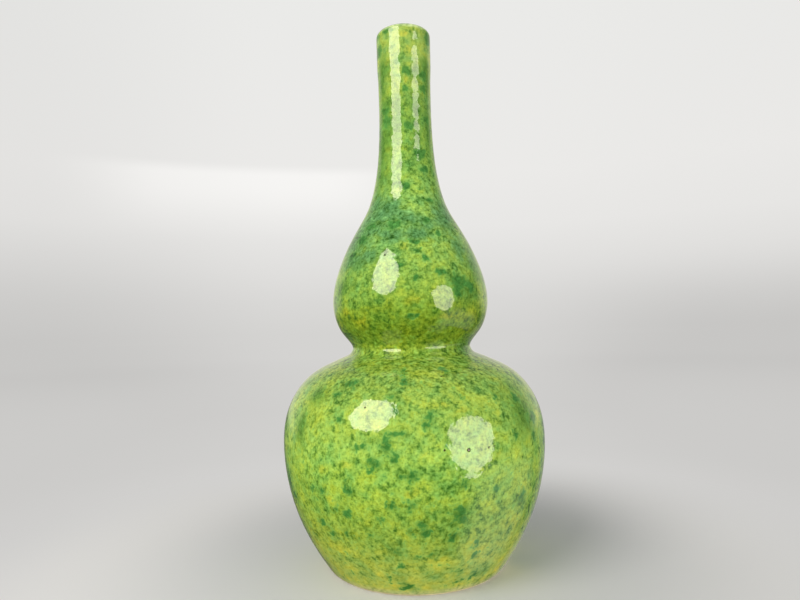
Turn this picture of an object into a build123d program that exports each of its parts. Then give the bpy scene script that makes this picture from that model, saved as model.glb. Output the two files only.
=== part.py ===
from build123d import *
import math
import os

# Double gourd vase: porcelain sections luted together with slip, glazed inside and out.
# Millimetres, +Z up. The origin is the centre of the foot, on the surface that it stands on.

# Heights of the stretches of the outline, one on top of the other from the ground to the lip
LOWER_BULB_RISE = 48.5
LOWER_BULB_CLOSE = 35.3
UPPER_BULB_RISE = 18.5
UPPER_BULB_CLOSE = 38.7
NECK_TAPER = 39.0
NECK_RISE = 35.0

# Widths of the glazed outline
LOWER_BULB_DIAMETER = 103.3
WAIST_DIAMETER = 46.5
UPPER_BULB_DIAMETER = 62.8
NECK_ROOT_DIAMETER = 32.8

# Neck: the glazed bore, straight from a little above the neck's root, and the clay around it
BORE_DIAMETER = 15.2
BORE_ENTRY_RISE = 22.0
NECK_WALL = 2.4
LIP_WALL = 2.8

# Clay of the two bulbs
BULB_WALL = 3.3
FLOOR_THICKNESS = 4.0

# Foot, turned out of the base section
FOOT_DIAMETER = 67.5
FOOT_FLARE_ANGLE = 35.0
FOOT_LAND_WIDTH = 3.6
RECESS_DEPTH = 4.0
RECESS_SLOPE_WIDTH = 1.6
RECESS_CORNER_RADIUS = 1.2
LAND_EDGE_RADIUS = 0.5

# Glaze coats
GLAZE_THICKNESS = 0.45
LINING_THICKNESS = 0.4
BASE_GLAZE_THICKNESS = 0.3
BASE_GLAZE_MARGIN = 1.0
BARE_FOOT_HEIGHT = 0.9
LIP_LAP_DEPTH = 9.0

# Slip joints between the clay sections: thin cones that rise outwards
SLIP_THICKNESS = 0.5
SEAM_BEVEL_ANGLE = 20.0

# How far cutting shapes run past what they cut
OVERRUN = 20.0

# Outline between its named stations, as (width share, height share) of each stretch
FOOT_TO_BELLY_SHARES = ((0.165, 0.085), (0.35, 0.19), (0.565, 0.335), (0.745, 0.49), (0.915, 0.715))
BELLY_TO_WAIST_SHARES = (
    (0.05, 0.33),
    (0.21, 0.595),
    (0.45, 0.78),
    (0.66, 0.865),
    (0.86, 0.925),
    (0.955, 0.957),
)
WAIST_TO_UPPER_SHARES = ((0.04, 0.075), (0.205, 0.19), (0.48, 0.335), (0.72, 0.50), (0.91, 0.725))
UPPER_TO_ROOT_SHARES = ((0.055, 0.20), (0.24, 0.43), (0.50, 0.65), (0.77, 0.835))
ROOT_TO_NECK_SHARES = ((0.50, 0.23), (0.76, 0.435), (0.94, 0.735))
NECK_TO_MOUTH_SHARES = ((0.40, 0.50),)

# Inside, in the same shares: from the middle of the floor to the lowest full wall,
# and from the highest full wall to the foot of the bore
HEEL_SHARES = ((0.35, 0.006), (0.60, 0.075), (0.80, 0.26), (0.93, 0.60))
BORE_ENTRY_SHARES = ((0.44, 0.25), (0.75, 0.50))


def place(radius, height):
    """A point of the half section, by its distance from the axis and its height."""
    return Vector(radius, 0, height)


def between(start, end, shares):
    """Points from start to end, each at its share of the width and of the height."""
    return [
        place(start.X + (end.X - start.X) * width_share, start.Z + (end.Z - start.Z) * height_share)
        for width_share, height_share in shares
    ]


def moved_in(curve, point, distance):
    """A point of the curve, moved square to it towards the inside of the vase."""
    along = curve.tangent_at(point)
    return point + Vector(-along.Z, 0, along.X) * distance


def filled(*edges):
    """The flat face that a closed run of edges bounds."""
    return Face(Wire(edges))


# Heights of the stations
belly_height = LOWER_BULB_RISE
waist_height = belly_height + LOWER_BULB_CLOSE
upper_height = waist_height + UPPER_BULB_RISE
root_height = upper_height + UPPER_BULB_CLOSE
neck_height = root_height + NECK_TAPER
vase_height = neck_height + NECK_RISE

# Neck and lip: the lip is a full round over the clay and the glaze on both its sides
bore_radius = BORE_DIAMETER / 2
clay_bore_radius = bore_radius + LINING_THICKNESS
neck_radius = clay_bore_radius + NECK_WALL + GLAZE_THICKNESS
mouth_radius = clay_bore_radius + LIP_WALL + GLAZE_THICKNESS
lip_radius = (mouth_radius - bore_radius) / 2
lip_height = vase_height - lip_radius

# Foot flank, straight up to where the glaze has its full thickness
flare = math.radians(FOOT_FLARE_ANGLE)
flank = Vector(math.sin(flare), 0, math.cos(flare))
flank_out = Vector(flank.Z, 0, -flank.X)
foot_corner = place(FOOT_DIAMETER / 2, 0)
glaze_end = foot_corner + flank * (BARE_FOOT_HEIGHT / flank.Z)
clay_start = glaze_end + flank * GLAZE_THICKNESS
glaze_start = clay_start + flank_out * GLAZE_THICKNESS

# Named stations of the glazed outline
belly = place(LOWER_BULB_DIAMETER / 2, belly_height)
waist = place(WAIST_DIAMETER / 2, waist_height)
upper_belly = place(UPPER_BULB_DIAMETER / 2, upper_height)
neck_root = place(NECK_ROOT_DIAMETER / 2, root_height)
narrow_neck = place(neck_radius, neck_height)
mouth = place(mouth_radius, lip_height)

upwards = Vector(0, 0, 1)
outwards = Vector(1, 0, 0)

# Glazed outline, and the stations that the clay wall follows with its full thickness
heel_side = between(glaze_start, belly, FOOT_TO_BELLY_SHARES)
shoulder_side = between(belly, waist, BELLY_TO_WAIST_SHARES)
upper_under_side = between(waist, upper_belly, WAIST_TO_UPPER_SHARES)
upper_shoulder_side = between(upper_belly, neck_root, UPPER_TO_ROOT_SHARES)
neck_flare = between(neck_root, narrow_neck, ROOT_TO_NECK_SHARES)
neck_side = between(narrow_neck, mouth, NECK_TO_MOUTH_SHARES)
full_wall = [
    *heel_side[2:],
    belly,
    *shoulder_side,
    waist,
    *upper_under_side,
    upper_belly,
    *upper_shoulder_side,
    neck_root,
    neck_flare[0],
]
stations = [
    glaze_start,
    *heel_side[:2],
    *full_wall,
    *neck_flare[1:],
    narrow_neck,
    *neck_side,
    mouth,
]
glazed_line = Spline(*stations, tangents=[flank, upwards])

# Clay outside, one glaze thickness under the outline
clay_stations = [moved_in(glazed_line, station, GLAZE_THICKNESS) for station in stations]
clay_line = Spline(*clay_stations, tangents=[flank, upwards])

# Clay inside: the floor, the heel, the full wall of the bulbs, and the foot of the bore
floor_centre = place(0, RECESS_DEPTH + FLOOR_THICKNESS)
wall_stations = [moved_in(glazed_line, station, GLAZE_THICKNESS + BULB_WALL) for station in full_wall]
bore_start = place(clay_bore_radius, root_height + BORE_ENTRY_RISE)
cavity_stations = [
    floor_centre,
    *between(floor_centre, wall_stations[0], HEEL_SHARES),
    *wall_stations,
    *between(wall_stations[-1], bore_start, BORE_ENTRY_SHARES),
    bore_start,
]
cavity_line = Spline(*cavity_stations, tangents=[outwards, upwards])

# Glazed inside, one lining thickness over the clay
lining_stations = [moved_in(cavity_line, station, LINING_THICKNESS) for station in cavity_stations]
lining_line = Spline(*lining_stations, tangents=[outwards, upwards])


def lip_arc(outer_radius, inner_radius):
    """The full round of the lip, from its outside over the top to the bore."""
    centre_radius = (outer_radius + inner_radius) / 2
    return ThreePointArc(
        place(outer_radius, lip_height),
        place(centre_radius, lip_height + outer_radius - centre_radius),
        place(inner_radius, lip_height),
    )


def glazed_body():
    """Half section inside the glazed outline, down to the rounded end of the glaze."""
    glaze_arc_middle = clay_start + (flank_out - flank).normalized() * GLAZE_THICKNESS
    glaze_root = glaze_end - flank_out * FOOT_LAND_WIDTH / 2
    over_root = place(glaze_root.X, floor_centre.Z)
    lip = lip_arc(mouth_radius, bore_radius)
    return filled(
        Line(floor_centre, over_root),
        Line(over_root, glaze_root),
        Line(glaze_root, glaze_end),
        ThreePointArc(glaze_end, glaze_arc_middle, glaze_start),
        glazed_line,
        lip,
        Line(lip @ 1, place(0, lip_height)),
        Line(place(0, lip_height), floor_centre),
    )


def clay_body():
    """Half section inside the clay's outside, with the foot ring and its recess."""
    land_inner_radius = foot_corner.X - FOOT_LAND_WIDTH
    under_side = FilletPolyline(
        place(0, RECESS_DEPTH),
        place(land_inner_radius - RECESS_SLOPE_WIDTH, RECESS_DEPTH),
        place(land_inner_radius, 0),
        foot_corner,
        clay_start,
        radius=(RECESS_CORNER_RADIUS, LAND_EDGE_RADIUS, LAND_EDGE_RADIUS),
    )
    lip = lip_arc(mouth_radius - GLAZE_THICKNESS, clay_bore_radius)
    return filled(
        *under_side.edges(),
        clay_line,
        lip,
        Line(lip @ 1, place(0, lip_height)),
        Line(place(0, lip_height), place(0, RECESS_DEPTH)),
    )


def hollow(side):
    """Half section of the space inside a line that runs from the floor to the bore."""
    floor_point = side @ 0
    bore_point = side @ 1
    bore_top = place(bore_point.X, lip_height)
    return filled(
        side,
        Line(bore_point, bore_top),
        Line(bore_top, place(0, lip_height)),
        Line(place(0, lip_height), floor_point),
    )


def level_line(height):
    """A level cut across the half section."""
    return place(-OVERRUN, height), place(belly.X + OVERRUN, height)


def seam_line(station, rise):
    """A bevelled cut through a station of the outline, raised square to itself."""
    bevel = math.radians(SEAM_BEVEL_ANGLE)
    inner, outer = level_line(station.Z + rise / math.cos(bevel))
    slope = math.tan(bevel)
    return (
        place(inner.X, inner.Z + (inner.X - station.X) * slope),
        place(outer.X, outer.Z + (outer.X - station.X) * slope),
    )


def band(lower, upper):
    """The area between two cuts."""
    return filled(
        Line(lower[0], lower[1]),
        Line(lower[1], upper[1]),
        Line(upper[1], upper[0]),
        Line(upper[0], lower[0]),
    )


def clay_sections():
    """The clay wall, cut at the three slip joints: four sections and three slip rings."""
    names = (
        "lower_bulb_base",
        "belly_slip_seam",
        "lower_bulb_shoulder",
        "waist_slip_seam",
        "upper_bulb",
        "neck_slip_seam",
        "neck",
    )
    cuts = [level_line(-OVERRUN)]
    for station in (belly, waist, neck_root):
        cuts.append(seam_line(station, -SLIP_THICKNESS / 2))
        cuts.append(seam_line(station, SLIP_THICKNESS / 2))
    cuts.append(level_line(vase_height + OVERRUN))
    wall = clay_body() - hollow(cavity_line)
    return {
        name: wall & band(lower, upper) for name, lower, upper in zip(names, cuts[:-1], cuts[1:])
    }


def inside_coats():
    """The glaze on the inside, parted where the outer glaze laps over the lip."""
    coat = hollow(cavity_line) - hollow(lining_line)
    lap = level_line(lip_height - LIP_LAP_DEPTH)
    lap_coat = coat & band(lap, level_line(lip_height + OVERRUN))
    lining = coat & band(level_line(-OVERRUN), lap)
    return lap_coat, lining


def base_glaze():
    """The disc of glaze in the recess of the foot, with a rounded edge."""
    edge_radius = foot_corner.X - FOOT_LAND_WIDTH - RECESS_SLOPE_WIDTH - BASE_GLAZE_MARGIN
    ceiling = place(0, RECESS_DEPTH)
    surface = place(0, RECESS_DEPTH - BASE_GLAZE_THICKNESS)
    turn = place(edge_radius - BASE_GLAZE_THICKNESS, surface.Z)
    rim = place(edge_radius, RECESS_DEPTH)
    return filled(
        Line(surface, turn),
        TangentArc(turn, rim, tangent=outwards),
        Line(rim, ceiling),
        Line(ceiling, surface),
    )


def half_sections():
    """Every piece's half section, by the name of the piece."""
    sections = clay_sections()
    lap_coat, lining = inside_coats()
    sections["outer_glaze"] = (glazed_body() - clay_body()) + lap_coat
    sections["inner_glaze"] = lining
    sections["base_glaze"] = base_glaze()
    return sections


os.makedirs("parts", exist_ok=True)
for name, section in half_sections().items():
    piece = revolve(section, Axis.Z)
    piece.label = name
    export_step(piece, f"parts/{name}.step")
    print(name, len(piece.solids()), round(piece.volume))
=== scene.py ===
import math
import random

import bpy
import numpy as np
from mathutils import Matrix, Vector, noise


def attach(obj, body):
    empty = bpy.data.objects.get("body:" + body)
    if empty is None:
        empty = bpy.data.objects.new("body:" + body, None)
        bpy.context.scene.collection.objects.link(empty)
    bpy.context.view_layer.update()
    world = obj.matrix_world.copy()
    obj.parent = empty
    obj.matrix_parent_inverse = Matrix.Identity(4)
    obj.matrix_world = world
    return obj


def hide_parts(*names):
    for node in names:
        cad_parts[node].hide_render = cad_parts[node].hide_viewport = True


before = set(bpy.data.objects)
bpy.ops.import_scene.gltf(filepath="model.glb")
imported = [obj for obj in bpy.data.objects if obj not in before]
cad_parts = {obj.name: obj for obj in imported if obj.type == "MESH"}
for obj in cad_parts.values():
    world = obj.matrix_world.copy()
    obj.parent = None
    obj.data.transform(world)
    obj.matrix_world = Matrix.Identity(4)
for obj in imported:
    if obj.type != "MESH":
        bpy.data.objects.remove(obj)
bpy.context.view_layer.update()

MM = 0.001
MM_PER_METRE = 1000.0

# Sizes of the green coat, in millimetres
VASE_HEIGHT = 215.0
BARE_TOP = 1.01
LIP_CENTRE_RADIUS = 9.425
LIP_ROUND_RADIUS = 1.817
LIP_CENTRE_HEIGHT = 213.175
# The rolled lower edge of the coat, from the clay outwards: radius and height
FOOT_EDGE = ((34.30, 0.95), (34.42, 0.86), (34.58, 0.82), (34.74, 0.84), (34.88, 0.91))
LAP_DEPTH_BELOW_LIP = 8.9
LIP_RINGS = 14
LAP_RINGS = 6
KNOT_SPACING = 2.4
RING_SPACING = 0.81
SEGMENTS = 270
WAVE_SIZE = 13.0
WAVE_DEPTH = 0.05
THROW_RING_PITCH = 4.7
THROW_RING_DEPTH = 0.012
DEEPEST_WAVE = 0.16
# The coat isn't wavy at its foot edge, or at the lip and in the bore
SMOOTH_FOOT = 1.2
SMOOTH_TOP = 13.0
WAVES_SET_IN = 6.0
# Pools of glaze in the waist: height, reach up and down, and thickness, in millimetres
WAIST_POOLS = ((82.6, 2.6, 0.42), (83.8, 1.6, 0.38))
# Shallow swells and dents: azimuth in degrees, height, reach around, reach up, and rise, in millimetres
SWELLS = (
    (19.0, 101.0, 10.0, 8.0, 0.54), (19.0, 116.5, 10.0, 8.0, -0.28), (-19.0, 129.5, 11.0, 8.0, -0.25),
    (-19.5, 121.0, 3.6, 6.0, 0.27), (-13.5, 58.0, 8.5, 7.0, -0.13), (19.0, 52.0, 10.0, 10.0, 0.07),
)

# Camera
CAMERA_PLACE = (0.0, -0.245516, 0.0910755)
CAMERA_RIGHT = (0.99949243, 0.01825655, -0.02610716)
CAMERA_UP = (0.02702283, -0.05185109, 0.99828915)
CAMERA_BACK = (0.01687163, -0.99848794, -0.05231812)
CAMERA_LENS = 27.0
CAMERA_FRAME = 36.0

# Softboxes: name, place, size, radiance of the light given, and of the face that the glaze mirrors
SOFTBOXES = (
    ("left_softbox", (-0.293, -0.359, 0.380), (0.352, 0.445), 4.8, 9.2),
    ("right_softbox", (3.74, -3.32, 0.40), (3.84, 4.70), 1.4, 6.6),
)
LAMP_COLOUR = (1.0, 0.965, 0.93)
MIRRORED_COLOUR = (1.0, 0.92, 0.76)
LAMP_TARGET = (0.0, 0.0, 0.085)

# Marks in the glaze: azimuth from the front in degrees, height, width and length in millimetres
TEAL_MARKS = (
    (-26, 40.2, 2.9, 5.9), (-28, 31.2, 3.8, 2.7), (-33, 32.0, 2.8, 2.1), (-42, 26.2, 4.3, 2.5),
    (-37, 23.1, 3.4, 2.2), (-30, 23.7, 3.2, 2.5), (-24, 23.0, 2.6, 2.1), (-19, 24.6, 2.1, 2.1),
    (-13, 30.0, 3.3, 2.7), (-9, 35.5, 3.6, 2.9), (-2, 34.6, 3.5, 2.6), (-1, 44.3, 4.1, 2.6),
    (-5, 45.0, 2.6, 2.6), (10, 33.1, 3.3, 1.6), (17, 31.9, 4.8, 4.6), (18, 29.0, 3.9, 3.7),
    (15, 23.2, 3.7, 3.4), (13, 28.1, 2.0, 1.7), (-2, 26.0, 2.9, 2.7), (4, 25.5, 3.2, 3.4),
    (2, 29.0, 2.9, 2.6), (-8, 18.2, 3.0, 2.5), (-1, 17.1, 2.3, 2.1), (7, 17.6, 2.6, 2.1),
    (-13, 20.6, 2.4, 2.1), (-6, 13.1, 3.0, 2.2), (-14, 8.5, 2.4, 2.3), (-5, 4.5, 5.8, 3.2),
    (48, 32.9, 3.6, 4.2), (32, 38.4, 2.3, 4.0), (26, 20.3, 2.2, 4.2), (27, 15.3, 2.2, 3.3),
    (30, 7.5, 2.7, 3.9), (21, 9.7, 2.5, 2.3), (21, 5.0, 4.4, 2.0), (18, 41.1, 3.0, 2.3),
    (6, 44.8, 2.2, 1.9), (-16, 45.4, 3.0, 1.9), (-38, 38.3, 2.6, 2.4), (-44, 37.8, 2.4, 2.1),
    (-4, 74.0, 2.4, 3.8), (-5, 77.1, 2.4, 3.8), (-8, 66.1, 2.3, 3.5), (-6, 64.6, 2.3, 2.6),
    (6, 63.7, 2.9, 4.0), (5, 60.4, 2.6, 3.1), (-10, 54.4, 3.3, 6.2), (-20, 53.6, 3.8, 2.6),
    (-16, 55.9, 3.0, 2.3), (-15, 48.3, 4.0, 3.5), (-7, 50.1, 2.3, 3.2), (-6, 58.2, 2.9, 3.0),
    (-3, 57.8, 2.3, 2.0), (-30, 62.3, 3.1, 2.9), (-35, 69.7, 3.4, 2.6), (-31, 73.6, 4.5, 4.3),
    (58, 59.5, 5.9, 4.2), (50, 66.8, 4.3, 3.4), (38, 68.7, 3.4, 3.0), (21, 68.4, 2.1, 2.1),
    (43, 55.0, 2.8, 3.1), (12, 55.2, 1.6, 2.3), (-9, 69.4, 2.4, 2.1), (18, 77.2, 3.3, 4.0),
    (56, 52.3, 3.7, 3.6), (-1, 45.9, 2.6, 1.9), (-2, 147.6, 3.6, 3.5), (28, 161.2, 4.2, 3.6),
    (33, 155.1, 3.7, 3.2), (22, 146.5, 2.5, 2.1), (30, 141.5, 4.2, 2.8), (20, 133.0, 3.2, 2.8),
    (-14, 131.6, 5.9, 4.6), (28, 127.7, 2.9, 2.6), (5, 124.3, 4.4, 2.1), (6, 120.7, 3.3, 2.0),
    (13, 117.6, 3.0, 2.4), (-7, 115.1, 3.7, 3.1), (23, 112.7, 4.4, 3.5), (36, 109.1, 6.8, 5.4),
    (4, 110.1, 2.9, 1.9), (-1, 96.2, 2.4, 1.9), (5, 96.4, 2.5, 1.6), (47, 107.0, 4.3, 4.6),
    (-47, 126.6, 6.9, 3.9), (-42, 132.0, 5.3, 3.6), (-54, 120.6, 6.0, 3.8), (34, 104.6, 3.9, 3.3),
    (6, 195.2, 3.6, 4.0), (44, 194.3, 3.9, 4.4), (1, 187.6, 3.2, 2.8), (43, 188.5, 3.8, 3.2),
    (-42, 175.8, 4.4, 5.2), (-51, 180.4, 5.3, 3.2), (30, 162.1, 4.1, 3.6), (-34, 212.7, 6.0, 2.0),
    (60, 209.0, 4.7, 3.3), (50, 176.1, 3.7, 3.2), (7, 172.9, 3.6, 4.0),
)
GOLD_MARKS = (
    (12, 203.4, 4.9, 5.2), (2, 210.3, 4.4, 3.6), (-35, 200.0, 4.5, 4.0), (2, 191.6, 3.2, 3.2),
    (-39, 164.5, 4.7, 4.8), (-11, 146.1, 4.0, 3.3), (-4, 122.8, 4.8, 4.1), (-37, 94.9, 8.4, 4.7),
    (1, 102.2, 7.1, 3.6), (-37, 45.1, 6.0, 4.1), (-35, 35.2, 5.0, 3.4), (-26, 47.4, 5.2, 3.0),
    (1, 40.4, 3.8, 3.2), (-2, 38.9, 4.5, 3.2), (-13, 34.1, 3.0, 2.3), (33, 49.9, 2.8, 3.3),
    (26, 45.8, 4.3, 2.9), (19, 64.7, 7.6, 2.3), (11, 66.6, 8.0, 2.0), (4, 51.5, 4.5, 2.6),
    (26, 96.6, 8.9, 2.6), (-26, 85.1, 6.3, 1.6), (39, 84.0, 6.7, 1.5), (-53, 99.0, 5.8, 5.4),
    (5, 37.0, 2.9, 2.6), (10, 15.4, 6.7, 2.5), (-10, 2.9, 8.3, 1.6),
)
# Darker olive runs of the glaze, and painted shade: marks on the sides of the neck and the upper bulb,
# where the front light falls off
WASH_AND_SIDE_SHADE_MARKS = (
    (-48, 129.9, 15.3, 9.9), (-35, 136.3, 12.4, 7.3), (-54, 118.2, 13.4, 9.1), (-14, 127.0, 7.5, 5.5),
    (7, 127.5, 9.0, 6.0), (2, 134.1, 7.0, 5.5), (-52, 57.1, 5.9, 10.9), (-47, 69.3, 9.6, 6.2),
    (40, 134.0, 7.0, 14.0), (-24, 138.5, 8.0, 9.0), (-52, 141.0, 9.0, 10.0), (-62, 128.0, 14.0, 12.0),
    (46, 122.0, 6.0, 8.0), (20, 131.5, 6.0, 5.0), (58, 138.0, 9.0, 12.0), (60, 116.0, 9.0, 12.0),
    (-34, 119.0, 7.0, 6.0), (46, 106.0, 9.0, 7.0), (-58, 108.0, 8.0, 6.0), (-55, 172.0, 4.0, 10.0),
    (55, 172.0, 4.0, 14.0), (57, 192.0, 4.0, 9.0), (58, 84.0, 12.0, 5.0),
    (-56, 190.0, 4.0, 10.0), (-40, 183.0, 3.5, 5.0), (-50, 152.0, 8.0, 8.0), (-50, 198.0, 6.0, 8.0),
    (-46, 170.0, 5.0, 9.0), (50, 198.0, 5.0, 7.0), (52, 62.0, 13.0, 17.0), (25, 180.0, 3.4, 9.0),
    (24, 168.0, 3.0, 7.0), (26, 196.0, 3.0, 6.0), (-17, 181.0, 2.4, 7.0), (-17, 172.0, 2.2, 5.0),
)
# Marks on the sides and the back: how many, range of widths, and range of length as a share of width
FRONT_HALF_WIDTH = 62.0
UNSEEN_TEAL = (205, (2.0, 4.6), (0.6, 1.5))
UNSEEN_GOLD = (52, (3.0, 7.5), (0.4, 0.9))
UNSEEN_WASH = (16, (7.0, 15.0), (0.7, 1.6))
MARK_SEED = 11

# How full a mark is: it grows with its area, and the upper bulb and the neck have fuller ones
FAINTEST_MARK = 0.55
FULL_MARK_AREA = 30
UPPER_MARKS_FROM = 90
UPPER_MARKS_GAIN = 0.3
MARK_FALL_OFF = 0.69
MARK_WOBBLE = 1.1
MARK_WOBBLE_SIZE = 2.4

# Pinholes: azimuth in degrees, height and radius in millimetres
PINHOLES = (
    (20.1, 52.1, 0.75), (10.9, 52.6, 0.42), (28.6, 52.2, 0.40), (30.9, 52.4, 0.34),
    (14.5, 75.4, 0.40), (-18.6, 119.2, 0.42), (-19.5, 66.2, 0.40),
)


def linear(red, green, blue):
    """A colour written as screen levels from 0 to 255, as shader numbers."""
    out = []
    for level in (red, green, blue):
        share = level / 255
        if share <= 0.04045:
            out.append(share / 12.92)
        else:
            out.append(((share + 0.055) / 1.055) ** 2.4)
    return (out[0], out[1], out[2], 1.0)


# The coat's outer line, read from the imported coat
def coat_levels():
    """Heights and radii of the coat's outer face, lowest first, in millimetres."""
    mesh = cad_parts["outer_glaze"].data
    count = len(mesh.vertices)
    flat = np.zeros(count * 3)
    mesh.vertices.foreach_get("co", flat)
    points = flat.reshape(count, 3) / MM
    outer = set()
    for face in mesh.polygons:
        centre = face.center
        reach = math.hypot(centre.x, centre.y)
        outward = (face.normal.x * centre.x + face.normal.y * centre.y) / max(reach, 1e-9)
        if outward > 0 and reach > LIP_CENTRE_RADIUS * MM:
            outer.update(face.vertices)
    chosen = points[sorted(outer)]
    radius = np.hypot(chosen[:, 0], chosen[:, 1])
    height = chosen[:, 2]
    keep = (height > BARE_TOP) & (height < LIP_CENTRE_HEIGHT - 0.05)
    order = np.argsort(height[keep])
    height = height[keep][order]
    radius = radius[keep][order]
    levels = np.round(height, 2)
    heights = []
    radii = []
    for level in np.unique(levels):
        same = levels == level
        heights.append(height[same].mean())
        radii.append(radius[same].mean())
    return np.array(heights), np.array(radii)


COAT_LEVELS = coat_levels()


def natural_slopes(knots, values):
    """Second derivatives of the natural cubic through the values."""
    count = len(knots)
    step = np.diff(knots)
    rows = np.eye(count)
    right = np.zeros(count)
    for i in range(1, count - 1):
        rows[i, i - 1] = step[i - 1]
        rows[i, i] = 2 * (step[i - 1] + step[i])
        rows[i, i + 1] = step[i]
        rise = (values[i + 1] - values[i]) / step[i]
        fall = (values[i] - values[i - 1]) / step[i - 1]
        right[i] = 6 * (rise - fall)
    return np.linalg.solve(rows, right)


def cubic(knots, values, places):
    """The natural cubic through the values, read at the places."""
    bend = natural_slopes(knots, values)
    index = np.clip(np.searchsorted(knots, places) - 1, 0, len(knots) - 2)
    step = knots[index + 1] - knots[index]
    a = (knots[index + 1] - places) / step
    b = (places - knots[index]) / step
    bent = ((a ** 3 - a) * bend[index] + (b ** 3 - b) * bend[index + 1]) * step ** 2 / 6
    return a * values[index] + b * values[index + 1] + bent


def body_line():
    """Radius and height along the coat, from the foot to where the lip begins to round."""
    heights, radii = COAT_LEVELS
    heights = np.append(heights, LIP_CENTRE_HEIGHT)
    radii = np.append(radii, LIP_CENTRE_RADIUS + LIP_ROUND_RADIUS)
    travel = np.concatenate(([0.0], np.cumsum(np.hypot(np.diff(radii), np.diff(heights)))))
    count = int(travel[-1] / KNOT_SPACING)
    knots = np.linspace(0, travel[-1], count + 1)
    knot_radii = np.interp(knots, travel, radii)
    knot_heights = np.interp(knots, travel, heights)
    rings = int(travel[-1] / RING_SPACING)
    places = np.linspace(0, travel[-1], rings + 1)
    return np.column_stack((cubic(knots, knot_radii, places), cubic(knots, knot_heights, places)))


def lip_and_lap():
    """Over the round lip and down the bore to the end of the lap."""
    rows = []
    for i in range(1, LIP_RINGS + 1):
        turn = math.pi * i / LIP_RINGS
        radius = LIP_CENTRE_RADIUS + LIP_ROUND_RADIUS * math.cos(turn)
        height = LIP_CENTRE_HEIGHT + LIP_ROUND_RADIUS * math.sin(turn)
        rows.append((radius, height))
    bore = LIP_CENTRE_RADIUS - LIP_ROUND_RADIUS
    for i in range(1, LAP_RINGS + 1):
        rows.append((bore, LIP_CENTRE_HEIGHT - LAP_DEPTH_BELOW_LIP * i / LAP_RINGS))
    return np.array(rows)


def line_normals(line):
    """Outward unit normals of the line, as radius and height."""
    along = np.gradient(line, axis=0)
    normals = np.column_stack((along[:, 1], -along[:, 0]))
    return normals / np.linalg.norm(normals, axis=1)[:, None]


# The marks, as fields on the skin
def unseen_marks(count, widths, shares, travel, line):
    """Random marks on the sides and the back, spread evenly over the surface."""
    weights = line[:, 0] * np.gradient(travel)
    weights = np.cumsum(weights / weights.sum())
    rows = []
    for _ in range(count):
        ring = int(np.searchsorted(weights, random.random()))
        ring = min(ring, len(line) - 1)
        azimuth = random.uniform(FRONT_HALF_WIDTH, 360 - FRONT_HALF_WIDTH)
        width = random.uniform(*widths)
        length = width * random.uniform(*shares)
        rows.append((azimuth, line[ring, 1], width, length))
    return rows


def mark_field(marks, turn, travel_at, reach_at, heights, travel, wobble):
    """How much of a mark each vertex holds, from 0 to 1."""
    field = np.zeros(len(turn))
    for azimuth, height, width, length in marks:
        place = np.interp(height, heights, travel)
        across = (turn - math.radians(azimuth) + math.pi) % (2 * math.pi) - math.pi
        across = across * reach_at + wobble[:, 0]
        down = travel_at - place + wobble[:, 1]
        spread = (2 * across / width) ** 2 + (2 * down / length) ** 2
        share = FAINTEST_MARK + width * length / FULL_MARK_AREA
        share = min(1.0, share + UPPER_MARKS_GAIN * (height > UPPER_MARKS_FROM))
        field = 1 - (1 - field) * (1 - share * np.exp(-MARK_FALL_OFF * spread))
    return field


def vertex_noise(points, cell, octaves):
    """Smooth noise at each point, about -1 to 1, with cells of the given size."""
    out = np.zeros(len(points))
    for i, point in enumerate(points):
        place = Vector(point) / cell
        out[i] = noise.fractal(place, 0.8, 2.0, octaves)
    return out


def lathe_faces(rings, segments):
    """Quads between neighbouring rings."""
    ring = np.arange(rings - 1)[:, None] * segments
    here = np.arange(segments)[None, :]
    there = (here + 1) % segments
    a = (ring + here).ravel()
    b = (ring + there).ravel()
    c = (ring + segments + there).ravel()
    d = (ring + segments + here).ravel()
    return np.column_stack((a, b, c, d))


def wave_depth(points, height, travel, whole):
    """How deep the slight waves and throwing rings are at each point."""
    waves = vertex_noise(points, WAVE_SIZE, 2)
    throwing = np.sin(height * 2 * math.pi / THROW_RING_PITCH + 2.0 * waves)
    depth = WAVE_DEPTH * (0.55 - 0.45 * waves) + THROW_RING_DEPTH * (1 + throwing)
    depth = np.clip(depth, 0, DEEPEST_WAVE)
    low_end = np.clip((travel - SMOOTH_FOOT) / WAVES_SET_IN, 0, 1)
    high_end = np.clip((whole - SMOOTH_TOP - travel) / WAVES_SET_IN, 0, 1)
    return depth * (low_end * high_end)


def swell_rise(turn, reach, height):
    """Pooled glaze and the slight unevenness of a hand-made body at each point, outwards."""
    rise = np.zeros(len(turn))
    for level, tall, peak in WAIST_POOLS:
        rise += peak * np.exp(-((height - level) / tall) ** 2)
    for azimuth, level, wide, tall, peak in SWELLS:
        across = (turn - math.radians(azimuth) + math.pi) % (2 * math.pi) - math.pi
        spread = (across * reach / wide) ** 2 + ((height - level) / tall) ** 2
        rise += peak * np.exp(-spread)
    return rise


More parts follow.
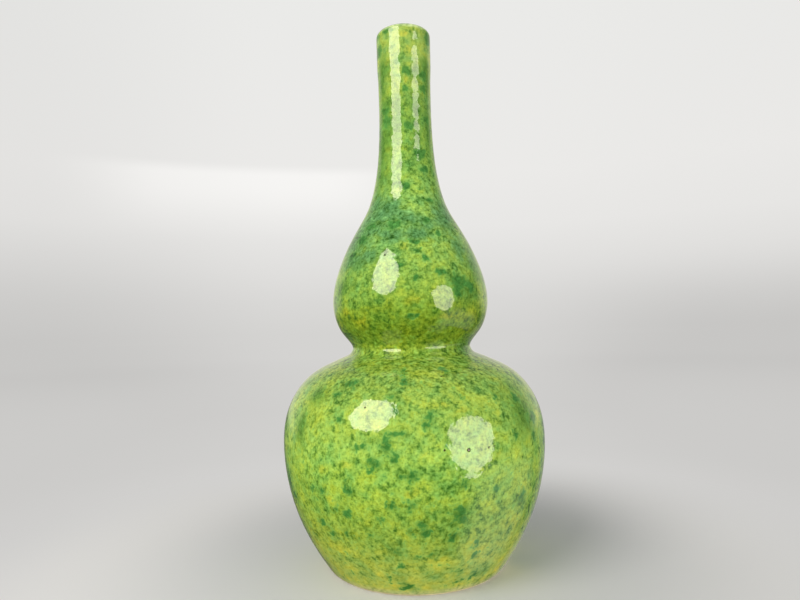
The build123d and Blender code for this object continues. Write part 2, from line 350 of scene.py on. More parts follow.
def build_skin():
    """The green coat as a lathe mesh, slightly wavy, with a thicker pool of glaze in the waist."""
    random.seed(MARK_SEED)
    body = body_line()
    line = np.vstack((FOOT_EDGE, body, lip_and_lap()))
    normals = line_normals(line)
    rings = len(line)
    steps = np.hypot(*np.diff(line, axis=0).T)
    travel = np.concatenate(([0.0], np.cumsum(steps)))
    turn = np.tile(np.linspace(0, 2 * math.pi, SEGMENTS, endpoint=False), rings)
    ring = np.repeat(np.arange(rings), SEGMENTS)
    reach = line[ring, 0]
    flat = np.column_stack((reach * np.sin(turn), -reach * np.cos(turn), line[ring, 1]))
    depth = wave_depth(flat, line[ring, 1], travel[ring], travel[-1])
    depth = depth - swell_rise(turn, reach, line[ring, 1])
    place = line[ring] - normals[ring] * depth[:, None]
    points = np.column_stack((place[:, 0] * np.sin(turn), -place[:, 0] * np.cos(turn), place[:, 1]))
    mesh = bpy.data.meshes.new("green_glaze_skin")
    faces = lathe_faces(rings, SEGMENTS)
    mesh.from_pydata((points * MM).tolist(), [], faces.tolist())
    mesh.polygons.foreach_set("use_smooth", [True] * len(faces))
    paint_marks(mesh, flat, turn, ring, line, travel)
    mesh.update()
    skin = bpy.data.objects.new("green_glaze_skin", mesh)
    bpy.context.scene.collection.objects.link(skin)
    return skin


def paint_marks(mesh, flat, turn, ring, line, travel):
    """Stores the teal, gold and wash fields, the wash with painted side shade, as one colour attribute."""
    lip_start = int(np.argmax(line[:, 1]))
    heights = line[:lip_start, 1]
    outside = travel[:lip_start]
    wobble = np.zeros((len(flat), 2))
    wobble[:, 0] = vertex_noise(flat + 50.0, MARK_WOBBLE_SIZE, 2) * MARK_WOBBLE
    wobble[:, 1] = vertex_noise(flat - 90.0, MARK_WOBBLE_SIZE, 2) * MARK_WOBBLE
    kinds = ((TEAL_MARKS, UNSEEN_TEAL), (GOLD_MARKS, UNSEEN_GOLD), (WASH_AND_SIDE_SHADE_MARKS, UNSEEN_WASH))
    fields = np.ones((len(flat), 4))
    for channel, (seen, unseen) in enumerate(kinds):
        marks = list(seen) + unseen_marks(*unseen, travel, line)
        share = mark_field(marks, turn, travel[ring], line[ring, 0], heights, outside, wobble)
        fields[:, channel] = share
    attribute = mesh.attributes.new("glaze_marks", "FLOAT_COLOR", "POINT")
    attribute.data.foreach_set("color", fields.ravel())


# Short calls for shader nodes
class Nodes:
    """The node tree of a material or of the world."""

    def __init__(self, owner, output="ShaderNodeOutputMaterial"):
        self.owner = owner
        self.owner.use_nodes = True
        self.tree = self.owner.node_tree
        self.tree.nodes.clear()
        self.output = self.put(output)

    def put(self, kind, **settings):
        node = self.tree.nodes.new(kind)
        for name, value in settings.items():
            setattr(node, name, value)
        return node

    def feed(self, socket, value):
        if isinstance(value, bpy.types.NodeSocket):
            self.tree.links.new(value, socket)
        else:
            socket.default_value = value

    def math(self, operation, first, second=0.0, clamp=False):
        node = self.put("ShaderNodeMath", operation=operation, use_clamp=clamp)
        self.feed(node.inputs[0], first)
        self.feed(node.inputs[1], second)
        return node.outputs[0]

    def vector(self, operation, first, second=(0.0, 0.0, 0.0)):
        node = self.put("ShaderNodeVectorMath", operation=operation)
        self.feed(node.inputs[0], first)
        self.feed(node.inputs[1], second)
        return node.outputs["Value"] if operation == "DISTANCE" else node.outputs["Vector"]

    def scaled(self, first, size):
        node = self.put("ShaderNodeVectorMath", operation="SCALE")
        self.feed(node.inputs[0], first)
        self.feed(node.inputs["Scale"], size)
        return node.outputs["Vector"]

    def noise(self, place, scale, detail=2.0, rough=0.5):
        node = self.put("ShaderNodeTexNoise")
        self.feed(node.inputs["Vector"], place)
        self.feed(node.inputs["Scale"], scale)
        self.feed(node.inputs["Detail"], detail)
        self.feed(node.inputs["Roughness"], rough)
        return node

    def ramp(self, value, low, high, start=0.0, end=1.0, smooth=True):
        kind = "SMOOTHSTEP" if smooth else "LINEAR"
        node = self.put("ShaderNodeMapRange", interpolation_type=kind)
        self.feed(node.inputs["Value"], value)
        self.feed(node.inputs["From Min"], low)
        self.feed(node.inputs["From Max"], high)
        self.feed(node.inputs["To Min"], start)
        self.feed(node.inputs["To Max"], end)
        return node.outputs["Result"]

    def mix(self, share, first, second, blend="MIX"):
        node = self.put("ShaderNodeMix", data_type="RGBA", blend_type=blend, clamp_factor=True)
        self.feed(node.inputs["Factor"], share)
        self.feed(node.inputs[6], first)
        self.feed(node.inputs[7], second)
        return node.outputs[2]

    def stops(self, value, colours):
        node = self.put("ShaderNodeValToRGB")
        self.feed(node.inputs["Fac"], value)
        ramp = node.color_ramp
        while len(ramp.elements) < len(colours):
            ramp.elements.new(0.5)
        for element, (place, colour) in zip(ramp.elements, colours):
            element.position = place
            element.color = colour
        return node.outputs["Color"]

    def bump(self, height, distance, below=None):
        node = self.put("ShaderNodeBump")
        self.feed(node.inputs["Strength"], 1.0)
        self.feed(node.inputs["Distance"], distance)
        self.feed(node.inputs["Height"], height)
        if below is not None:
            self.feed(node.inputs["Normal"], below)
        return node.outputs["Normal"]

    def place(self):
        """Place on the object, in millimetres."""
        node = self.put("ShaderNodeTexCoord")
        return self.scaled(node.outputs["Object"], MM_PER_METRE)

    def height(self, place):
        """Height of a place above the ground."""
        split = self.put("ShaderNodeSeparateXYZ")
        self.feed(split.inputs[0], place)
        return split.outputs["Z"]

    def finish(self, shader):
        self.tree.links.new(shader, self.output.inputs["Surface"])
        return self.owner


def centred(nodes, value, gain):
    """Noise about 0.5 turned into a signed amount about 0."""
    return nodes.math("MULTIPLY", nodes.math("SUBTRACT", value, 0.5), gain)


# The green glaze
def tint_at(height, red, green, blue):
    """One stop of the tint by height: millimetres above the foot, then the share of each colour."""
    return (height / VASE_HEIGHT, (red, green, blue, 1.0))


# Tint by height: painted shade in the waist and under the upper bulb, painted light at the foot, and small
# shifts of tone between
TINT_WITH_PAINTED_LIGHT = (
    tint_at(0.0, 1.32, 1.08, 1.18),
    tint_at(12.0, 1.24, 1.06, 1.10),
    tint_at(20.0, 1.09, 0.98, 0.94),
    tint_at(32.0, 1.03, 0.98, 0.91),
    tint_at(44.0, 1.07, 1.04, 1.03),
    tint_at(52.0, 1.10, 1.06, 1.12),
    tint_at(60.0, 1.06, 1.01, 1.04),
    tint_at(68.0, 1.05, 0.99, 1.01),
    tint_at(78.0, 0.94, 0.90, 0.90),
    tint_at(85.0, 0.91, 0.88, 0.76),
    tint_at(91.0, 0.82, 0.79, 0.54),
    tint_at(97.0, 0.86, 0.83, 0.62),
    tint_at(104.0, 0.95, 0.92, 0.86),
    tint_at(112.0, 0.96, 0.94, 0.96),
    tint_at(135.0, 0.93, 0.96, 1.10),
    tint_at(162.0, 0.93, 0.93, 0.94),
    tint_at(176.0, 0.90, 0.91, 0.92),
    tint_at(188.0, 0.95, 0.92, 0.96),
    tint_at(200.0, 1.06, 0.98, 1.08),
    tint_at(215.0, 1.12, 1.00, 1.10),
)


def grain_at(height, fine, middle, coarse):
    """One stop of the grain's strength by height: millimetres, then its three sizes."""
    return (height / VASE_HEIGHT, (fine, middle, coarse, 1.0))


GRAIN_BY_HEIGHT = (
    grain_at(0.0, 0.27, 0.13, 0.20),
    grain_at(6.0, 0.31, 0.17, 0.24),
    grain_at(14.0, 0.45, 0.26, 0.37),
    grain_at(22.0, 0.63, 0.34, 0.46),
    grain_at(38.0, 0.68, 0.35, 0.45),
    grain_at(46.0, 0.60, 0.29, 0.40),
    grain_at(60.0, 0.62, 0.32, 0.43),
    grain_at(69.0, 0.74, 0.31, 0.32),
    grain_at(75.0, 1.00, 0.47, 0.40),
    grain_at(81.0, 1.08, 0.55, 0.62),
    grain_at(88.0, 0.88, 0.36, 0.50),
    grain_at(96.0, 0.80, 0.34, 0.50),
    grain_at(104.0, 0.72, 0.26, 0.42),
    grain_at(112.0, 0.74, 0.30, 0.37),
    grain_at(120.0, 0.86, 0.36, 0.36),
    grain_at(128.0, 0.96, 0.42, 0.42),
    grain_at(136.0, 0.94, 0.52, 0.52),
    grain_at(145.0, 0.74, 0.41, 0.48),
    grain_at(155.0, 0.58, 0.33, 0.46),
    grain_at(166.0, 0.60, 0.24, 0.40),
    grain_at(178.0, 0.57, 0.19, 0.34),
    grain_at(190.0, 0.54, 0.13, 0.22),
    grain_at(204.0, 0.40, 0.13, 0.22),
)


def shade(red, green, blue):
    """A colour as screen shares, for the mixing that is done before the gamma step."""
    return (red / 255, green / 255, blue / 255, 1.0)


def glaze_fields(nodes):
    """The teal and gold marks, and the wash marks with their painted side shade, stored on the skin."""
    marks = nodes.put("ShaderNodeAttribute", attribute_name="glaze_marks")
    split = nodes.put("ShaderNodeSeparateColor")
    nodes.feed(split.inputs[0], marks.outputs["Color"])
    return split.outputs["Red"], split.outputs["Green"], split.outputs["Blue"]


# Noise fields: name, whether it follows the warp, its shift, its scale for a millimetre, and its roughness
NOISE_FIELDS = (
    ("patch", False, (3.0, 41.0, 77.0), 0.07, 0.5),
    ("blotch", True, (0.0, 0.0, 0.0), 0.17, 0.5),
    ("clump", True, (37.0, 11.0, 5.0), 0.34, 0.55),
    ("fleck", True, (9.0, 51.0, 33.0), 0.55, 0.55),
    ("hue", True, (61.0, 23.0, 47.0), 0.33, 0.5),
    ("speck", False, (5.0, 71.0, 23.0), 0.85, 0.75),
)
WARP_SCALE = 0.35
WARP_REACH = 1.6


def glaze_noises(nodes, place):
    """Noise fields from broad patches down to fine specks, each about 0.5."""
    warp = nodes.noise(place, WARP_SCALE, 2.0)
    push = nodes.vector("SUBTRACT", warp.outputs["Color"], (0.5, 0.5, 0.5))
    bent = nodes.vector("ADD", place, nodes.scaled(push, WARP_REACH))
    fields = {}
    for name, follows, shift, scale, rough in NOISE_FIELDS:
        base = bent if follows else place
        base = nodes.vector("ADD", base, shift)
        fields[name] = nodes.noise(base, scale, 2.0, rough).outputs[0]
    return fields


def sum_of(nodes, start, fields, gains):
    """A level with signed shares of the noise fields added to it."""
    total = start
    for name, gain in gains.items():
        total = nodes.math("ADD", total, centred(nodes, fields[name], gain))
    return total


def ground_colour(nodes, fields):
    """Yellow-green with greener and yellower patches."""
    hue = sum_of(nodes, 0.5, fields, {"blotch": 0.95, "hue": 1.15, "patch": 0.7})
    return nodes.stops(hue, (
        (0.06, shade(122, 180, 86)),
        (0.50, shade(140, 183, 75)),
        (0.94, shade(154, 184, 62)),
    ))


def with_tint_and_painted_light(nodes, colour, height):
    """The tint by height: painted shade, darker in the waist and under the upper bulb, and painted light,
    lighter at the foot.
    """
    tint = nodes.stops(nodes.math("DIVIDE", height, VASE_HEIGHT), TINT_WITH_PAINTED_LIGHT)
    return nodes.mix(1.0, colour, tint, "MULTIPLY")


def with_gold(nodes, colour, fields, gold_marks, height):
    """Yellow patches, warmest in the middle."""
    gold = nodes.math("MULTIPLY", gold_marks, nodes.ramp(height, 4.0, 28.0, 0.5, 1.0))
    gold = sum_of(nodes, gold, fields, {"fleck": 0.9})
    warm = nodes.ramp(gold, 0.55, 1.1)
    gold = nodes.ramp(gold, 0.20, 1.0)
    colour = nodes.mix(nodes.math("MULTIPLY", gold, 0.45), colour, shade(172, 194, 62))
    return nodes.mix(nodes.math("MULTIPLY", warm, 0.28), colour, shade(186, 182, 58))


def with_wash_and_side_shade(nodes, colour, fields, wash_and_side_shade_marks, height):
    """The darker wash of the places where the glaze ran, bluish on the upper bulb, and painted shade on
    the sides of the neck and the upper bulb.
    """
    wash = sum_of(nodes, wash_and_side_shade_marks, fields, {"clump": 1.3, "fleck": 0.7, "speck": 0.5})
    wash = nodes.ramp(wash, 0.05, 1.05)
    above = nodes.ramp(height, 110.0, 120.0)
    bluish = nodes.math("MULTIPLY", above, nodes.ramp(height, 156.0, 142.0))
    run = nodes.mix(bluish, shade(84, 130, 50), shade(76, 128, 76))
    return nodes.mix(nodes.math("MULTIPLY", wash, 0.78), colour, run)


def with_teal(nodes, colour, fields, teal_marks, height):
    """Small scattered teal clumps and the larger soft-edged ones with dark middles."""
    scatter = sum_of(nodes, 0.5, fields, {"clump": 1.0, "fleck": 0.9, "patch": 0.5, "speck": 0.3})
    scatter = nodes.ramp(scatter, 0.40, 0.12)
    colour = nodes.mix(nodes.math("MULTIPLY", scatter, 0.50), colour, shade(98, 146, 64))
    uneven = sum_of(nodes, 0.0, fields, {"clump": 1.2, "fleck": 2.0, "speck": 1.1})
    uneven = nodes.math("MULTIPLY", uneven, nodes.ramp(height, 88.0, 96.0, 1.0, 0.55))
    teal = nodes.math("ADD", teal_marks, uneven)
    halo = nodes.ramp(teal, 0.15, 0.68)
    colour = nodes.mix(nodes.math("MULTIPLY", halo, 0.60), colour, shade(102, 156, 72))
    core = nodes.ramp(teal, 0.42, nodes.ramp(height, 88.0, 96.0, 0.90, 0.80))
    core = nodes.math("MULTIPLY", core, nodes.ramp(height, 150.0, 170.0, 0.88, 0.68))
    return nodes.mix(core, colour, shade(60, 116, 50))


def with_edges(nodes, colour, fields, height):
    """Thin pale glaze at the lip and just above the bare foot."""
    lip = nodes.math("ADD", height, centred(nodes, fields["clump"], 1.6))
    lip = nodes.ramp(lip, 212.5, 214.2)
    colour = nodes.mix(nodes.math("MULTIPLY", lip, 0.8), colour, shade(192, 212, 160))
    foot = nodes.math("ADD", height, centred(nodes, fields["clump"], 1.2))
    foot = nodes.ramp(foot, 3.6, 0.8)
    return nodes.mix(nodes.math("MULTIPLY", foot, 0.8), colour, shade(208, 208, 142))


GRAIN_BY_COLOUR = (1.78, 1.34, 1.80)
GRAIN_DARKER = 0.16


def with_grain(nodes, colour, fields, height):
    """Light and dark grain of every size, strongest on the shoulder and the upper bulb."""
    strength = nodes.put("ShaderNodeSeparateColor")
    nodes.feed(strength.inputs[0], nodes.stops(nodes.math("DIVIDE", height, VASE_HEIGHT), GRAIN_BY_HEIGHT))
    grain = sum_of(nodes, 0.0, fields, {"patch": 0.12, "blotch": 0.24})
    for size, channel in (("speck", "Red"), ("fleck", "Green"), ("clump", "Blue")):
        grain = nodes.math("ADD", grain, centred(nodes, fields[size], strength.outputs[channel]))
    darker = nodes.math("MULTIPLY", nodes.math("ABSOLUTE", grain), GRAIN_DARKER)
    grain = nodes.math("SUBTRACT", grain, darker)
    step = nodes.vector("ADD", nodes.scaled(GRAIN_BY_COLOUR, grain), (1.0, 1.0, 1.0))
    return nodes.mix(1.0, colour, step, "MULTIPLY")


def glaze_colour(nodes, place):
    """Mottled yellow-green with gold patches, painted shade and light by height, darker runs with painted
    shade on the sides, teal clumps, pale edges and grain.
    """
    height = nodes.height(place)
    fields = glaze_noises(nodes, place)
    teal_marks, gold_marks, wash_and_side_shade_marks = glaze_fields(nodes)
    colour = ground_colour(nodes, fields)
    colour = with_gold(nodes, colour, fields, gold_marks, height)
    colour = with_tint_and_painted_light(nodes, colour, height)
    colour = with_wash_and_side_shade(nodes, colour, fields, wash_and_side_shade_marks, height)
    colour = with_teal(nodes, colour, fields, teal_marks, height)
    colour = with_edges(nodes, colour, fields, height)
    colour = with_grain(nodes, colour, fields, height)
    colour = with_pinholes(nodes, place, colour)
    gamma = nodes.put("ShaderNodeGamma")
    nodes.feed(gamma.inputs["Color"], colour)
    nodes.feed(gamma.inputs["Gamma"], 2.2)
    return gamma.outputs["Color"]


def pinhole_field(nodes, place):
    """How near a point is to one of the tiny pinholes, where a bubble opened in the firing."""
    heights, radii = COAT_LEVELS
    field = 0.0
    for azimuth, height, size in PINHOLES:
        reach = float(np.interp(height, heights, radii))
        turn = math.radians(azimuth)
        centre = (reach * math.sin(turn), -reach * math.cos(turn), height)
        away = nodes.vector("DISTANCE", place, centre)
        field = nodes.math("MAXIMUM", field, nodes.ramp(away, size, size * 0.45))
    return field


def with_pinholes(nodes, place, colour):
    """Dark pinholes over the mottled colour."""
    return nodes.mix(pinhole_field(nodes, place), colour, shade(60, 56, 24))


# Relief of the glaze, in metres
RIPPLE_RISE = 0.00015
PEEL_RISE = 0.00002
PINHOLE_SINK = 0.0004


def glaze_bump(nodes, place):
    """The soft ripple of a thick glaze, stronger on the neck, with fine orange peel and pinholes."""
    broad = nodes.noise(place, 0.24, 1.5, 0.45).outputs[0]
    fine = nodes.noise(place, 0.85, 1.0, 0.4).outputs[0]
    gain = nodes.ramp(nodes.height(place), 120.0, 160.0, 1.0, 1.7)
    normal = nodes.bump(nodes.math("MULTIPLY", broad, gain), RIPPLE_RISE)
    normal = nodes.bump(fine, PEEL_RISE, normal)
    sunk = nodes.math("SUBTRACT", 1.0, pinhole_field(nodes, place))
    return nodes.bump(sunk, PINHOLE_SINK, normal)


def green_glaze():
    """The glossy mottled glaze of the coat."""
    nodes = Nodes(bpy.data.materials.new("mottled_green_glaze"))
    place = nodes.place()
    colour = glaze_colour(nodes, place)
    normal = glaze_bump(nodes, place)
    shader = nodes.put("ShaderNodeBsdfPrincipled")
    nodes.feed(shader.inputs["Base Color"], colour)
    rough = nodes.noise(place, 0.6, 2.0).outputs[0]
    nodes.feed(shader.inputs["Roughness"], nodes.ramp(rough, 0.3, 0.7, 0.03, 0.06))
    nodes.feed(shader.inputs["IOR"], 1.5)
    nodes.feed(shader.inputs["Normal"], normal)
    return nodes.finish(shader.outputs[0])


# The other finishes
TURNING_LINES = 9.0


def pale_glaze(name, light, dark, coat_rough):
    """Thin clear glaze over pale clay, slightly greener in soft random patches."""
    nodes = Nodes(bpy.data.materials.new(name))
    place = nodes.place()
    cloud = nodes.noise(place, 0.16, 3.0, 0.55).outputs[0]
    speck = nodes.noise(place, 1.3, 2.0, 0.6).outputs[0]
    colour = nodes.mix(nodes.ramp(cloud, 0.35, 0.65), light, dark)
    dots = nodes.ramp(speck, 0.70, 0.78)
    colour = nodes.mix(nodes.math("MULTIPLY", dots, 0.55), colour, linear(150, 140, 96))
    wave = nodes.noise(place, 0.35, 2.0, 0.5).outputs[0]
    normal = nodes.bump(wave, 0.00008)
    shader = nodes.put("ShaderNodeBsdfPrincipled")
    nodes.feed(shader.inputs["Base Color"], colour)
    nodes.feed(shader.inputs["Roughness"], nodes.ramp(speck, 0.3, 0.7, 0.12, 0.2))
    nodes.feed(shader.inputs["Coat Weight"], 1.0)
    nodes.feed(shader.inputs["Coat Roughness"], coat_rough)
    nodes.feed(shader.inputs["Normal"], normal)
    nodes.feed(shader.inputs["Coat Normal"], normal)
    return nodes.finish(shader.outputs[0])


def bare_clay(name, light, dark, stain):
    """Fired clay, matt, with fine turning lines about the axis, and grit with dark stained specks."""
    nodes = Nodes(bpy.data.materials.new(name))
    place = nodes.place()
    level = nodes.vector("MULTIPLY", place, (1.0, 1.0, 0.0))
    reach = nodes.vector("DISTANCE", level, (0.0, 0.0, 0.0))
    across = nodes.math("MULTIPLY", reach, TURNING_LINES)
    upwards = nodes.math("MULTIPLY", nodes.height(place), TURNING_LINES)
    drift = nodes.math("MULTIPLY", nodes.noise(place, 0.25, 2.0).outputs[0], TURNING_LINES)
    rings = nodes.math("SINE", nodes.math("ADD", nodes.math("ADD", across, upwards), drift))
    grit = nodes.noise(place, 2.6, 3.0, 0.65).outputs[0]
    cloud = nodes.noise(place, 0.2, 3.0, 0.6).outputs[0]
    colour = nodes.mix(nodes.ramp(cloud, 0.35, 0.68), light, dark)
    lines = nodes.ramp(rings, 0.2, 1.0)
    colour = nodes.mix(nodes.math("MULTIPLY", lines, 0.22), colour, dark)
    dots = nodes.ramp(grit, 0.64, 0.74)
    colour = nodes.mix(nodes.math("MULTIPLY", dots, 0.7), colour, stain)
    normal = nodes.bump(rings, 0.00002)
    normal = nodes.bump(grit, 0.00005, normal)
    shader = nodes.put("ShaderNodeBsdfPrincipled")
    nodes.feed(shader.inputs["Base Color"], colour)
    nodes.feed(shader.inputs["Roughness"], nodes.ramp(grit, 0.3, 0.7, 0.72, 0.92))
    nodes.feed(shader.inputs["Normal"], normal)
    return nodes.finish(shader.outputs[0])


def dress(node, material):
    """Gives a carried-over node its finish."""
    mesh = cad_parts[node].data
    mesh.materials.clear()
    mesh.materials.append(material)


# Floor and backdrop
FLOOR_RINGS = (0.1, 0.2, 0.4, 0.8, 1.6, 3.2, 8.0)
FLOOR_SEGMENTS = 96


def build_floor():
    """A round pale floor, which shows its own shading and the shadow near the vase."""
    mesh = bpy.data.meshes.new("pale_floor")
    points = [(0.0, 0.0, 0.0)]
    faces = []
    count = FLOOR_SEGMENTS
    for reach in FLOOR_RINGS:
        for i in range(count):
            turn = 2 * math.pi * i / count
            points.append((reach * math.cos(turn), reach * math.sin(turn), 0.0))
    for i in range(count):
        faces.append((0, 1 + i, 1 + (i + 1) % count))
    for ring in range(len(FLOOR_RINGS) - 1):
        low = 1 + ring * count
        high = low + count
        for i in range(count):
            j = (i + 1) % count
            faces.append((low + i, high + i, high + j, low + j))
    mesh.from_pydata(points, [], faces)
    floor = bpy.data.objects.new("pale_floor", mesh)
    bpy.context.scene.collection.objects.link(floor)
    floor.visible_diffuse = False
    floor.visible_glossy = False
    floor.visible_shadow = False
    mesh.materials.append(floor_material())


def floor_material():
    """Lit and shadowed near the vase; further off it keeps the backdrop's level."""
    nodes = Nodes(bpy.data.materials.new("pale_floor"))
    place = nodes.put("ShaderNodeTexCoord").outputs["Object"]
    away = nodes.vector("DISTANCE", place, (0.0, 0.0, 0.0))
    cloud = nodes.noise(place, 3.0, 2.0).outputs[0]
    near = nodes.mix(nodes.ramp(cloud, 0.3, 0.7), linear(214, 214, 218), linear(219, 219, 222))
    near = nodes.mix(nodes.ramp(away, 0.05, 0.16), near, linear(242, 241, 239))
    diffuse = nodes.put("ShaderNodeBsdfDiffuse")
    nodes.feed(diffuse.inputs["Color"], near)
    far = nodes.put("ShaderNodeEmission")
    level = nodes.stops(nodes.ramp(away, 0.1, 2.1, smooth=False), (
        (0.0, linear(212, 211, 209)),
        (0.08, linear(208, 207, 205)),
        (0.3, linear(209, 208, 206)),
        (1.0, linear(212, 211, 209)),
    ))
    split = nodes.put("ShaderNodeSeparateXYZ")
    nodes.feed(split.inputs[0], place)
    across = nodes.math("DIVIDE", split.outputs["X"], nodes.math("MAXIMUM", away, 0.5))
    side_share = nodes.ramp(away, 0.3, 1.6, 0.35, 1.0)
    level = sides_darker(nodes, level, across, side_share, side_share)
    nodes.feed(far.inputs["Color"], level)
    rays = nodes.put("ShaderNodeLightPath")
    share = nodes.math("MULTIPLY", nodes.ramp(away, 0.075, 0.20), rays.outputs["Is Camera Ray"])
    lit = nodes.put("ShaderNodeMixShader")
    nodes.feed(lit.inputs[0], share)
    nodes.feed(lit.inputs[1], diffuse.outputs[0])
    nodes.feed(lit.inputs[2], far.outputs[0])
    clear = nodes.put("ShaderNodeBsdfTransparent")
    side = nodes.put("ShaderNodeNewGeometry")
    seen = nodes.put("ShaderNodeMixShader")
    nodes.feed(seen.inputs[0], side.outputs["Backfacing"])
    nodes.feed(seen.inputs[1], lit.outputs[0])
    nodes.feed(seen.inputs[2], clear.outputs[0])
    return nodes.finish(seen.outputs[0])


def sides_darker(nodes, level, across, left_share, right_share):
    """Painted shade: the backdrop falls off a little to the left, and to the right near the floor."""
    left = nodes.math("MULTIPLY", nodes.ramp(across, -0.18, -0.56), left_share)
    right = nodes.math("MULTIPLY", nodes.ramp(across, 0.14, 0.46), right_share)
    dim = nodes.mix(1.0, level, (0.87, 0.87, 0.87, 1.0), "MULTIPLY")
    return nodes.mix(nodes.math("ADD", left, right), level, dim)


def backdrop_crease(nodes, across, height):
    """Painted light: a faint lighter strip along a crease in the backdrop, to the left of the neck."""
    edge = nodes.ramp(height, 0.272, 0.252)
    fade = nodes.ramp(height, 0.145, 0.240)
    left_end = nodes.ramp(across, -0.52, -0.36)
    right_end = nodes.ramp(across, 0.06, -0.14)
    band = nodes.math("MULTIPLY", edge, fade)
    ends = nodes.math("MULTIPLY", left_end, right_end)
    return nodes.math("MULTIPLY", band, ends)


def backdrop_level(nodes, split):
    """The pale wall that the camera sees, greyer towards the floor."""
    level = nodes.stops(nodes.ramp(split.outputs["Z"], 0.0, 0.5, smooth=False), (
        (0.0, linear(212, 211, 209)),
        (0.10, linear(217, 216, 214)),
        (0.20, linear(224, 223, 221)),
        (0.34, linear(232, 231, 229)),
        (0.50, linear(235, 234, 232)),
        (1.0, linear(234, 234, 232)),
    ))
    right_share = nodes.ramp(split.outputs["Z"], 0.0, 0.13, 1.0, 0.1)
    left_share = nodes.ramp(split.outputs["Z"], 0.06, 0.20, 1.0, 0.55)
    level = sides_darker(nodes, level, split.outputs["X"], left_share, right_share)
    crease = backdrop_crease(nodes, split.outputs["X"], split.outputs["Z"])
    lit = nodes.mix(1.0, level, (1.11, 1.11, 1.11, 1.0), "MULTIPLY")
    return nodes.mix(crease, level, lit)


def room_level(nodes, split, room_levels, edge):
    """A soft room by direction: in front of the vase, behind it, above and below."""
    front, behind, above, below = room_levels
    share = nodes.ramp(split.outputs["Y"], edge[0], edge[1])
    room = nodes.mix(share, front, behind)
    room = nodes.mix(nodes.ramp(split.outputs["Z"], 0.15, 0.95), room, above)
    return nodes.mix(nodes.ramp(split.outputs["Z"], 0.02, -0.20), room, below)


def grey(level):
    """An even grey of the given strength."""
    return (level, level, level * 0.985, 1.0)


# Levels of the room that fills the shadows and of the room that the glaze mirrors
FILL_ROOM = (grey(0.98), grey(0.78), grey(0.24), grey(0.56))
FILL_EDGE = (-0.6, 0.6)
MIRRORED_ROOM = (grey(0.10), (0.80, 0.78, 0.64, 1.0), grey(0.20), grey(0.04))
MIRRORED_EDGE = (0.34, 0.66)


def mirrored_level(nodes, split):
    """The mirrored room, with a pale side low on the right and a grey rim low behind the vase."""
    across, back, up = (split.outputs[axis] for axis in "XYZ")
    room = room_level(nodes, split, MIRRORED_ROOM, MIRRORED_EDGE)
    slant = nodes.math("SUBTRACT", across, nodes.math("MULTIPLY", up, 0.60))
    low = nodes.ramp(up, -0.10, -0.38)
    right = nodes.math("MULTIPLY", nodes.ramp(slant, 0.88, 1.10), low)
    pale_side = nodes.mix(nodes.ramp(back, -0.3, 0.6), grey(0.98), grey(0.42))
    room = nodes.mix(right, room, pale_side)
    rim = nodes.math("MULTIPLY", nodes.ramp(back, 0.55, 0.85), nodes.ramp(up, 0.0, -0.12))
    rim_level = nodes.mix(nodes.ramp(across, -0.1, 0.1), grey(0.12), grey(0.30))
    return nodes.mix(rim, room, rim_level)


def build_world():
    """A pale backdrop for the camera, a soft fill, and a dimmer room for the glaze to mirror."""
    world = bpy.data.worlds.new("soft_room")
    bpy.context.scene.world = world
    world.cycles.sampling_method = "NONE"
    nodes = Nodes(world, "ShaderNodeOutputWorld")
    way = nodes.put("ShaderNodeTexCoord").outputs["Generated"]
    split = nodes.put("ShaderNodeSeparateXYZ")
    nodes.feed(split.inputs[0], way)
    seen = backdrop_level(nodes, split)
    fill = room_level(nodes, split, FILL_ROOM, FILL_EDGE)
    mirrored = mirrored_level(nodes, split)
    rays = nodes.put("ShaderNodeLightPath")
    light = nodes.mix(rays.outputs["Is Glossy Ray"], fill, mirrored)
    light = nodes.mix(rays.outputs["Is Camera Ray"], light, seen)
    backdrop = nodes.put("ShaderNodeBackground")
    nodes.feed(backdrop.inputs["Color"], light)
    nodes.finish(backdrop.outputs[0])


# Lamps and camera
def softbox(name, place, size, radiance, mirrored):
    """One softbox in two parts: the light that it gives, and the face that the glaze mirrors."""
    given = soft_lamp(name, place, size, radiance, LAMP_COLOUR)
    given.visible_glossy = False
    given.data.cycles.use_multiple_importance_sampling = False
    face = soft_lamp(name + "_face", place, size, mirrored, MIRRORED_COLOUR)
    face.visible_diffuse = False


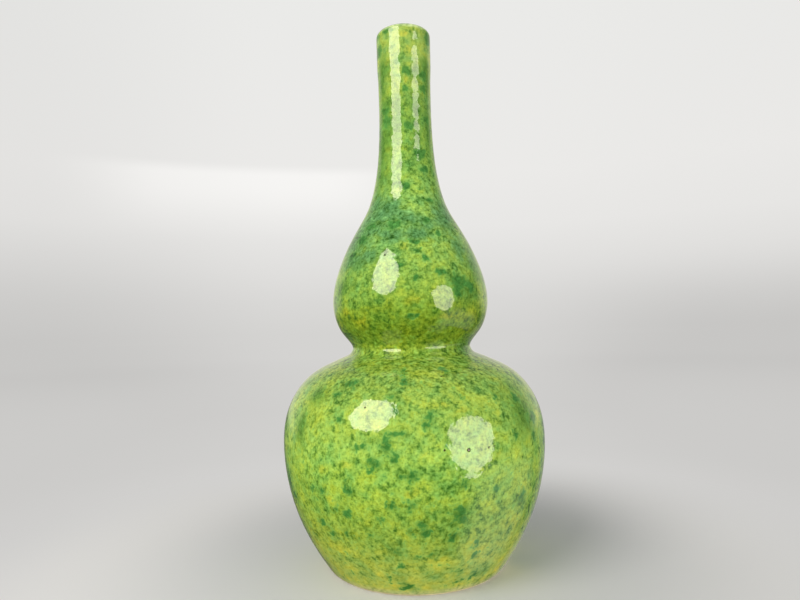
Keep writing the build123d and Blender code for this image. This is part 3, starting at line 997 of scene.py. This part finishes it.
def soft_lamp(name, place, size, radiance, colour):
    """A round area lamp turned towards the vase, with the strength that its radiance asks for."""
    lamp = bpy.data.lights.new(name, "AREA")
    lamp.shape = "ELLIPSE"
    lamp.size = size[0]
    lamp.size_y = size[1]
    area = math.pi * size[0] * size[1] / 4
    lamp.energy = radiance * math.pi * area
    lamp.color = colour
    holder = bpy.data.objects.new(name, lamp)
    bpy.context.scene.collection.objects.link(holder)
    holder.location = place
    aim = Vector(LAMP_TARGET) - Vector(place)
    holder.rotation_mode = "QUATERNION"
    holder.rotation_quaternion = aim.to_track_quat("-Z", "Y")
    holder.visible_camera = False
    return holder


def build_camera():
    """The camera at the photograph's angle."""
    data = bpy.data.cameras.new("camera")
    data.lens = CAMERA_LENS
    data.sensor_width = CAMERA_FRAME
    data.sensor_fit = "HORIZONTAL"
    data.clip_start = 0.01
    data.clip_end = 50.0
    holder = bpy.data.objects.new("camera", data)
    bpy.context.scene.collection.objects.link(holder)
    turn = Matrix((CAMERA_RIGHT, CAMERA_UP, CAMERA_BACK)).transposed()
    holder.rotation_mode = "QUATERNION"
    holder.rotation_quaternion = turn.to_quaternion()
    holder.location = CAMERA_PLACE
    bpy.context.scene.camera = holder


# The scene
build_camera()
build_world()
build_floor()
for box in SOFTBOXES:
    softbox(*box)

skin = build_skin()
skin.data.materials.append(green_glaze())
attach(skin, "root")
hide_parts("outer_glaze")

# The finishes of the nodes that are carried over
clay = bare_clay("fired_clay", linear(232, 223, 172), linear(212, 197, 146), linear(120, 92, 58))
slip = bare_clay("fired_slip", linear(222, 210, 186), linear(202, 184, 154), linear(116, 90, 60))
lining = pale_glaze("lining_glaze", linear(222, 226, 208), linear(204, 212, 188), 0.06)
foot_glaze = pale_glaze("foot_glaze", linear(220, 224, 206), linear(200, 208, 182), 0.08)
for name in ("lower_bulb_base", "lower_bulb_shoulder", "upper_bulb", "neck"):
    dress(name, clay)
for name in ("belly_slip_seam", "waist_slip_seam", "neck_slip_seam"):
    dress(name, slip)
dress("inner_glaze", lining)
dress("base_glaze", foot_glaze)

view = bpy.context.scene.view_settings
view.view_transform = "Standard"
